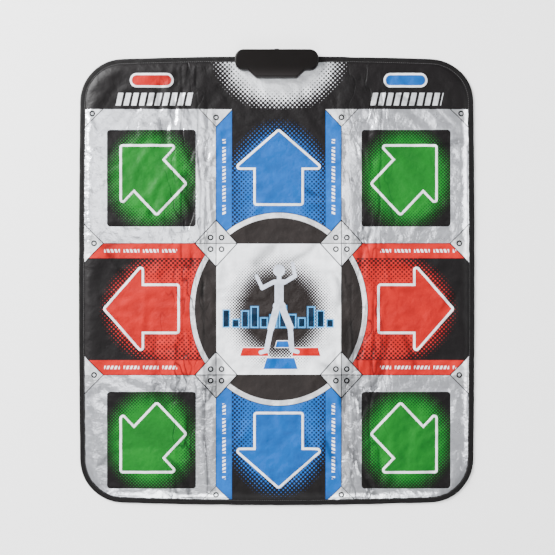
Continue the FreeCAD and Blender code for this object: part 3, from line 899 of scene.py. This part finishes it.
def moulded_box(name):
    """Satin plastic, with a painted sheen that makes it lighter towards the front of the box, and a fine dark
    line of painted shade before the front edge.
    """
    paint = Paint(name)
    place = paint.object_place()
    _, along, height = paint.parts(place)
    low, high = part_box("box_top_shell")
    ahead = (along - low.y) / MM
    fine = paint.noise(place, 2400, 3)
    broad = paint.noise(place, 30, 3)
    # painted sheen: the plastic is lighter towards the front
    front_sheen = share_of(1 - ahead / 26) ** 2
    colour = paint.mix(front_sheen * 0.9, (0.0026, 0.0019, 0.0018), (0.017, 0.0145, 0.0150))
    # a fine dark line of painted shade where the top rounds over to the front
    edge_shade = line(ahead - 3.6, 0.45) * inked((high.z - height) / MM - 1.5)
    colour = paint.mix(edge_shade, colour, (0.001, 0.0008, 0.0008))
    rough = 0.40 + (broad - 0.5) * 0.14 + (fine - 0.5) * 0.1
    return paint.finish(Base_Color=colour, Roughness=rough, Specular_IOR_Level=0.12,
                        Normal=paint.bump(fine, 0.35, 0.03 * MM))


def woven(name, colour, thread, rough=0.7):
    """Woven tape or cloth with ribs, on the flat cloth's map."""
    paint = Paint(name)
    place = paint.cloth_place()
    across, along, _ = paint.parts(place)
    turn = 2 * math.pi / thread
    weave = (across * turn).sin() * (along * turn).sin()
    cloud = paint.noise(place, 0.03, 3)
    lightness = share_of((weave + 1) * 0.28 + (cloud - 0.5) * 0.6)
    tint = paint.mix(lightness, colour, tuple(channel * 1.8 for channel in colour))
    return paint.finish(Base_Color=tint, Roughness=rough + (cloud - 0.5) * 0.2,
                        Normal=paint.bump(weave, 0.5, 0.12 * MM), Specular_IOR_Level=0.14)


def make_finishes():
    cell = {"metal": 0.7, "rough": 0.36}
    return {
        "corner": printed("corner_cell_print", corner_print, metal=0.9, rough=0.30, strength=1.0),
        "blue_cell": printed("blue_cell_print", arrow_cell_print(BLUE, True, 172), **cell),
        "red_cell": printed("red_cell_print", arrow_cell_print(RED, False, 151), **cell),
        "header": printed("header_print", header_print, **cell),
        "centre": printed("centre_print", centre_print, metal=0.0, rough=0.30),
        "blue": printed("blue_patch", plain_print(BLUE), rough=0.36),
        "red": printed("red_patch", plain_print(RED), rough=0.36),
        "green": printed("green_patch", plain_print(GREEN), rough=0.36),
        "outline": printed("white_outline", plain_print(WHITE), rough=0.3, strength=0.5),
        "tape": woven("binding_tape", (0.0026, 0.0022, 0.0024), 1.1, 0.5),
        "base": woven("slip_base_cloth", (0.022, 0.022, 0.024), 1.4, 0.8),
        "thread": simple("stitch_thread", (0.055, 0.053, 0.055), 0.6),
        "dots": simple("slip_dots", (0.035, 0.035, 0.037), 0.55),
        "box": moulded_box("box_plastic"),
        "tray": simple("tray_plastic", (0.0115, 0.0105, 0.0105), 0.5, grain=2600, depth=0.03),
        "foam": simple("foam", (0.62, 0.62, 0.60), 0.9, grain=1800, depth=0.3, spread=0.08),
        "film": simple("contact_film", (0.70, 0.73, 0.74), 0.3, grain=700, depth=0.02, spread=0.05),
        "ink": simple("carbon_ink", (0.012, 0.012, 0.013), 0.65, speck=(0.04, 0.04, 0.042)),
        "board": simple("board_laminate", (0.012, 0.11, 0.035), 0.4, speck=(0.03, 0.17, 0.06)),
        "resin": simple("chip_resin", (0.008, 0.008, 0.009), 0.18),
        "can": simple("metal_can", (0.68, 0.69, 0.71), 0.3, 1.0),
        "rubber": simple("black_rubber", (0.018, 0.018, 0.019), 0.7),
        "steel": simple("screw_steel", (0.55, 0.56, 0.58), 0.3, 1.0),
    }


# ---------- the cover


CELL_FINISHES = ("corner", "blue_cell", "red_cell", "header", "centre")


def cell_of(across, along):
    """Which print a place on the cover has."""
    right, ahead = abs(across / MM - PRINT_X), abs(along / MM - PRINT_Y)
    if along / MM > HEADER:
        return "header"
    if right < COLUMN:
        return "centre" if ahead < ROW else "blue_cell"
    return "red_cell" if ahead < ROW else "corner"


def make_cover(finishes):
    """The printed top cloth, cut whole, shaped, and then divided at the folds."""
    cover = plan_of([f"top_cover_{section}" for section in SECTIONS], "cover", 1, 0.4 * MM)
    low, high = points_of(cover).min(axis=0), points_of(cover).max(axis=0)
    columns = [(PRINT_X + sign * COLUMN) * MM for sign in (-1, 1)]
    rows = [(PRINT_Y + sign * ROW) * MM for sign in (-1, 1)]
    folds = [sign * place for sign in (-1, 1) for place in (STRIP_IN, STRIP_OUT)]
    cut_grid(cover, grid_places(low[0], high[0], CELL, [*columns, *folds], CREASED_BANDS),
             grid_places(low[1], high[1], CELL, [*rows, HEADER * MM]))
    extend_under_tape(cover)
    lay_map(cover)
    points = points_of(cover)
    set_heights(cover, cover_height(points))
    # painted shade for the valleys of the creases, stored on the cover for its print
    darkening = cover.data.attributes.new("painted_crease_shade", "FLOAT", "POINT")
    darkening.data.foreach_set("value", painted_crease_shade(points).astype(np.float32))
    for name in CELL_FINISHES:
        cover.data.materials.append(finishes[name])
    for face in cover.data.polygons:
        face.material_index = CELL_FINISHES.index(cell_of(face.center.x, face.center.y))
    smooth(cover)
    keep_normals(cover)
    return divide(cover, "cover", "top_cover")


def extend_under_tape(sheet):
    """Adds the margin that the tape holds, along the mat's edge only."""
    inside = edge_distance(points_of(sheet))
    rim = inside < TAPE_WIDE + 1 * MM
    choose_nothing(sheet)
    edit(sheet, "EDGE")
    bpy.ops.mesh.select_non_manifold(extend=False)
    leave_edit()
    for edge in sheet.data.edges:
        edge.select = edge.select and all(rim[index] for index in edge.vertices)
    edit(sheet, "EDGE")
    bpy.ops.mesh.extrude_edges_move()
    half = np.ptp(OUTLINE, axis=0) / 2 - TAPE_WIDE
    bpy.ops.transform.resize(value=(1 + TAPE_UNDER / half[0], 1 + TAPE_UNDER / half[1], 1),
                             center_override=(0, 0, 0))
    leave_edit()


def make_key(name, finish, finishes):
    """The patch of cover that a key's body carries, and the white outline that joins it to the cover."""
    ring = plan_of([f"{name}_pad"], f"{name}_outline", 1, 0.01 * MM)
    wide = PILL_OUTLINE_WIDE if name in ("select", "start") else OUTLINE_WIDE
    edit_all(ring, "FACE")
    bpy.ops.mesh.inset(thickness=wide, use_even_offset=True)
    bpy.ops.mesh.separate(type="SELECTED")
    leave_edit()
    patch = next(thing for thing in bpy.context.selected_objects if thing != ring)
    patch.name = f"{name}_patch"
    low, high = points_of(ring).min(axis=0), points_of(ring).max(axis=0)
    for piece in (patch, ring):
        cut_grid(piece, grid_places(low[0], high[0], CELL), grid_places(low[1], high[1], CELL))
    outer = outer_rim(ring, patch)
    lay_map(patch)
    lay_map(ring)
    skirt_start = len(ring.data.vertices)
    add_skirt(ring, outer)
    # each vertex's share is first written into its height, before the outline is shaped
    shares = np.arange(len(ring.data.vertices)) < skirt_start
    shares[outer] = False
    set_heights(ring, shares)
    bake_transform(ring)
    set_heights(patch, cover_height(points_of(patch)))
    heights = cover_height(points_of(ring))
    heights[skirt_start:] -= SKIRT_DEEP
    set_heights(ring, heights)
    smooth(patch)
    smooth(ring)
    patch.data.materials.append(finishes[finish])
    ring.data.materials.append(finishes["outline"])
    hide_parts(f"{name}_pad")
    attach(patch, f"{name}_key")
    return patch, ring


def rim_edges(piece):
    """Edges that only one face uses, as pairs of vertices."""
    uses = {}
    for face in piece.data.polygons:
        for key in face.edge_keys:
            uses[key] = uses.get(key, 0) + 1
    return {key for key, count in uses.items() if count == 1}


def rim_vertices(piece):
    return sorted({index for key in rim_edges(piece) for index in key})


def outer_rim(ring, patch):
    """The ring's rim vertices that don't touch the patch."""
    inner = points_of(patch)[rim_vertices(patch)][:, :2]
    points = points_of(ring)[:, :2]
    return [index for index in rim_vertices(ring)
            if np.min(np.linalg.norm(inner - points[index], axis=1)) > 2 * MM]


def add_skirt(ring, outer):
    """A narrow hem round the outline that tucks under the cover."""
    rim = {key for key in rim_edges(ring) if set(key) <= set(outer)}
    choose_nothing(ring)
    for edge in ring.data.edges:
        edge.select = edge.key in rim
    for index in outer:
        ring.data.vertices[index].select = True
    middle = (points_of(ring).min(axis=0) + points_of(ring).max(axis=0)) / 2
    half = np.ptp(points_of(ring), axis=0) / 2
    edit(ring, "EDGE")
    bpy.ops.mesh.extrude_edges_move()
    bpy.ops.transform.resize(value=(1 + SKIRT_WIDE / half[0], 1 + SKIRT_WIDE / half[1], 1),
                             center_override=tuple(middle))
    leave_edit()


# ---------- base, binding and stitches


def make_base(finishes):
    """The slip-proof cloth under the mat."""
    base = plan_of([f"slip_base_{section}" for section in SECTIONS], "base", -1, 0.4 * MM)
    low, high = points_of(base).min(axis=0), points_of(base).max(axis=0)
    bends = [sign * place * MM for sign in (-1, 1) for place in BASE_BENDS]
    cut_grid(base, grid_places(low[0], high[0], BASE_CELL, bends), grid_places(low[1], high[1], BASE_CELL))
    lay_map(base)
    set_heights(base, BASE_LEVEL)
    base.data.materials.append(finishes["base"])
    return divide(base, "base", "slip_base")


def make_dots(finishes):
    """Rubber dots printed on the base, modelled once and repeated."""
    bpy.ops.mesh.primitive_circle_add(vertices=8, radius=DOT_RADIUS, fill_type="NGON",
                                      location=(0, 0, BASE_LEVEL))
    dots = bpy.context.object
    dots.name = "slip_dots"
    bpy.ops.object.transform_apply(location=True)
    edit_all(dots)
    bpy.ops.mesh.extrude_region_move(TRANSFORM_OT_translate={"value": (0, 0, DOT_FACE - BASE_LEVEL)})
    bpy.ops.transform.resize(value=(0.72, 0.72, 1))
    leave_edit()
    width, length = np.ptp(OUTLINE, axis=0)
    across, along = int(width / DOT_PITCH / 2), int(length / DOT_PITCH / 2)
    repeat(dots, 2 * across + 1, (DOT_PITCH, 0, 0))
    repeat(dots, 2 * along + 1, (0, DOT_PITCH, 0))
    points = points_of(dots)
    points[:, 0] -= across * DOT_PITCH
    points[:, 1] -= along * DOT_PITCH
    set_points(dots, points)
    centres = np.round(points[:, :2] / DOT_PITCH) * DOT_PITCH
    low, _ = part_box("box_bottom_tray")
    past_corner = np.maximum(np.abs(centres) - (np.array([width, length]) / 2 - 104 * MM), 0)
    corner = np.linalg.norm(past_corner, axis=1)
    at_edge = (edge_distance(centres) < DOT_MARGIN) | (corner > 80 * MM)
    at_box = (np.abs(centres[:, 0]) < 92 * MM) & (centres[:, 1] > low.y - 6 * MM)
    at_fold = np.abs(np.abs(centres[:, 0]) - (STRIP_IN + STRIP_OUT) / 2) < 11 * MM
    remove_parts(dots, at_edge | at_box | at_fold)
    dots.data.materials.append(finishes["dots"])
    pieces = {side: cut_off(dots, f"slip_dots_{side}", lambda c, n: c.x * sign > FOLD)
              for side, sign in SIDES.items()}
    dots.name = "slip_dots_centre"
    pieces["centre"] = dots
    ride_folds(pieces)
    return pieces


def edge_path(name, inset, level):
    """Closed path inside the mat's edge."""
    ahead = np.roll(OUTLINE, -1, axis=0) - np.roll(OUTLINE, 1, axis=0)
    ahead /= np.linalg.norm(ahead, axis=1)[:, None]
    inward = np.stack([-ahead[:, 1], ahead[:, 0]], axis=1)
    middle = OUTLINE.mean(axis=0)
    if ((middle - OUTLINE[0]) @ inward[0]) < 0:
        inward = -inward
    places = OUTLINE + inward * inset
    curve = bpy.data.curves.new(name, "CURVE")
    curve.dimensions = "3D"
    curve.twist_mode = "Z_UP"
    spline = curve.splines.new("POLY")
    spline.points.add(len(places) - 1)
    ones = np.ones(len(places))
    spline.points.foreach_set("co", np.column_stack([places, level * ones, ones]).ravel())
    spline.use_cyclic_u = True
    path = bpy.data.objects.new(name, curve)
    bpy.context.collection.objects.link(path)
    return path


def make_binding(finishes):
    """Folded tape round the edge: a soft rounded section drawn along the edge, puckered between stitches."""
    path = edge_path("binding", TAPE_WIDE / 2, TAPE_THICK / 2)
    bpy.ops.mesh.primitive_circle_add(vertices=20, radius=1)
    section = bpy.context.object
    profile = points_of(section)
    lean = np.sign(profile[:, :2]) * np.abs(profile[:, :2]) ** 0.55
    profile[:, 0] = lean[:, 0] * TAPE_WIDE / 2
    profile[:, 1] = lean[:, 1] * TAPE_THICK / 2
    set_points(section, profile)
    activate(section)
    bpy.ops.object.convert(target="CURVE")
    section.data.splines[0].use_cyclic_u = True
    path.data.bevel_mode = "OBJECT"
    path.data.bevel_object = section
    activate(path)
    bpy.ops.object.convert(target="MESH")
    tape = bpy.context.object
    bpy.data.objects.remove(section)
    points = points_of(tape)
    inside = edge_distance(points)
    pucker = waves(points, 50, 0.03, 0.011, 11)
    on_top = points[:, 2] > TAPE_THICK * 0.55
    lift = 0.28 * MM * pucker * on_top
    waviness = 0.5 * MM * waves(points, 20, 0.16, 0.05, 12) * smooth_step(1 - inside / TAPE_WIDE)
    groove = 0.55 * MM * np.exp(-((inside - STITCH_INSET) / (0.9 * MM)) ** 2) * on_top
    points[:, 2] = np.clip(points[:, 2] + lift - groove, 0.05 * MM, None)
    points[:, :2] *= 1 - (np.clip(waviness, 0, None) / 0.43)[:, None]
    set_points(tape, points)
    low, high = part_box("box_top_shell")
    hidden = high.x - TAPE_HIDDEN
    edit(tape)
    for place in (-STRIP_IN, -STRIP_OUT, STRIP_IN, STRIP_OUT, -hidden, hidden):
        bpy.ops.mesh.select_all(action="SELECT")
        bpy.ops.mesh.bisect(plane_co=(place, 0, 0), plane_no=(1, 0, 0))
    leave_edit()
    point_outwards(tape)
    choose_faces(tape, lambda c, n: abs(c.x) < hidden and c.y > low.y)
    edit(tape, "FACE")
    bpy.ops.mesh.delete(type="FACE")
    leave_edit()
    lay_map(tape)
    tape.data.materials.append(finishes["tape"])
    smooth(tape)
    keep_normals(tape)
    return divide(tape, "binding", "edge_binding")


def make_stitches(finishes):
    """One row of lock stitches through the tape: a single stitch repeated along the edge."""
    path = edge_path("stitch_line", STITCH_INSET, 0)
    length = sum(np.linalg.norm(OUTLINE - np.roll(OUTLINE, -1, axis=0), axis=1))
    inner = length - 2 * math.pi * STITCH_INSET
    count = int(inner / STITCH_PITCH)
    bpy.ops.mesh.primitive_uv_sphere_add(segments=6, ring_count=5, radius=1)
    stitch = bpy.context.object
    stitch.name = "stitches"
    edit_all(stitch)
    bpy.ops.transform.rotate(value=math.pi / 2, orient_axis="Y", center_override=(0, 0, 0))
    bpy.ops.transform.resize(value=(1.65 * MM, 0.42 * MM, 0.34 * MM))
    leave_edit()
    repeat(stitch, count, (inner / count, 0, 0))
    follow = stitch.modifiers.new("follow", "CURVE")
    follow.object = path
    bpy.ops.object.modifier_apply(modifier="follow")
    bpy.data.objects.remove(path)
    points = points_of(stitch)
    points[:, 2] += TAPE_THICK - 0.42 * MM
    set_points(stitch, points)
    low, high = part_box("box_top_shell")
    remove_parts(stitch, (np.abs(points[:, 0]) < high.x - 2 * MM) & (points[:, 1] > low.y))
    stitch.data.materials.append(finishes["thread"])
    smooth(stitch)
    return divide(stitch, "stitches")


# ---------- CAD nodes that stay


def dress_nodes(finishes):
    """Gives each CAD node that stays its own material."""
    kinds = {
        "upper_film": "film", "lower_film": "film", "spacer_foam": "foam", "cushion_foam": "foam",
        "printed_contacts": "ink",
    }
    dress = {f"{layer}_{section}": finish for layer, finish in kinds.items() for section in SECTIONS}
    dress.update({f"{key}_contact": "film" for key in KEYS})
    dress.update({
        "box_top_shell": "box", "box_bottom_tray": "tray", "cable_gland": "rubber", "box_screws": "steel",
        "circuit_board": "board", "controller_chip": "resin", "crystal": "can", "capacitors": "can",
        "pressure_strip": "rubber", "board_screws": "steel",
    })
    for node, finish in dress.items():
        target = frame["nodes"][node]
        if not target.data.materials:
            target.data.materials.append(finishes[finish])
        for slot in target.material_slots:
            slot.link = "OBJECT"
            slot.material = finishes[finish]


# ---------- studio


def make_studio():
    """Pale floor, soft light and a camera straight above."""
    bpy.ops.mesh.primitive_plane_add(size=30, location=(0, 0, 0))
    floor = bpy.context.object
    floor.name = "studio_floor"
    paint = Paint("studio_floor")
    place = paint.object_place()
    cloud = paint.noise(place, 3, 2)
    tint = paint.mix(cloud, (0.94, 0.94, 0.945), (0.96, 0.96, 0.96))
    floor.data.materials.append(paint.finish(Base_Color=tint, Roughness=0.8))
    for name, spot, aim, size, power in (
            ("window_light", (-3.9, 2.9, 2.1), (0, 0, 0), 3.0, 1650),
            ("fill_light", (3.8, 0.4, 2.6), (0, 0, 0), 2.6, 150),
            ("front_light", (-0.4, -4.0, 2.8), (0, 0, 0), 2.6, 190),
            ("overhead_light", (-0.55, 0.35, 3.2), (-0.3, 0.2, 0), 1.5, 26)):
        light = bpy.data.objects.new(name, bpy.data.lights.new(name, "AREA"))
        light.data.size = size
        light.data.energy = power
        light.location = spot
        light.rotation_euler = (Vector(aim) - Vector(spot)).to_track_quat("-Z", "Y").to_euler()
        bpy.context.collection.objects.link(light)
    world = bpy.data.worlds.new("studio")
    world.use_nodes = True
    sky = world.node_tree.nodes["Background"].inputs
    sky["Color"].default_value = (1, 1, 1, 1)
    sky["Strength"].default_value = 0.22
    bpy.context.scene.world = world
    camera = bpy.data.objects.new("camera", bpy.data.cameras.new("camera"))
    camera.location = (1.7 * MM, 6.7 * MM, 2.0)
    camera.data.sensor_width = 36
    camera.data.lens = 36 * 2.0 / 1.1505
    bpy.context.collection.objects.link(camera)
    bpy.context.scene.camera = camera


# ---------- cut sizes


def flat_size(piece):
    """Width, length and area of the flat cloth that a piece was cut from, from its map."""
    flat = np.empty(len(piece.data.loops) * 2, np.float32)
    piece.data.uv_layers["cloth"].data.foreach_get("uv", flat)
    flat = flat.reshape(-1, 2).astype(float)
    area = 0.0
    for face in piece.data.polygons:
        corners = flat[list(face.loop_indices)]
        after = np.roll(corners, -1, axis=0)
        area += abs(np.sum(corners[:, 0] * after[:, 1] - corners[:, 1] * after[:, 0])) / 2
    width, length = np.ptp(flat, axis=0)
    return float(width), float(length), float(area)


def declare_sheets(pieces, trims):
    """Measures the flat cloth that each piece was cut from, and picks out the trims that go with it."""
    for place, piece in pieces.items():
        width, length, area = flat_size(piece)
        extra = [trim[place] for trim in trims if place in trim]


# ---------- assembly

finishes = make_finishes()
cover = make_cover(finishes)
patches = {name: make_key(name, finish, finishes) for name, (section, finish) in KEYS.items()}
base = make_base(finishes)
dots = make_dots(finishes)
binding = make_binding(finishes)
stitches = make_stitches(finishes)
declare_sheets(cover, (binding, stitches))
declare_sheets(base, (dots,))
for name, (patch, ring) in patches.items():
    width, length, area = flat_size(patch)
dress_nodes(finishes)
make_studio()
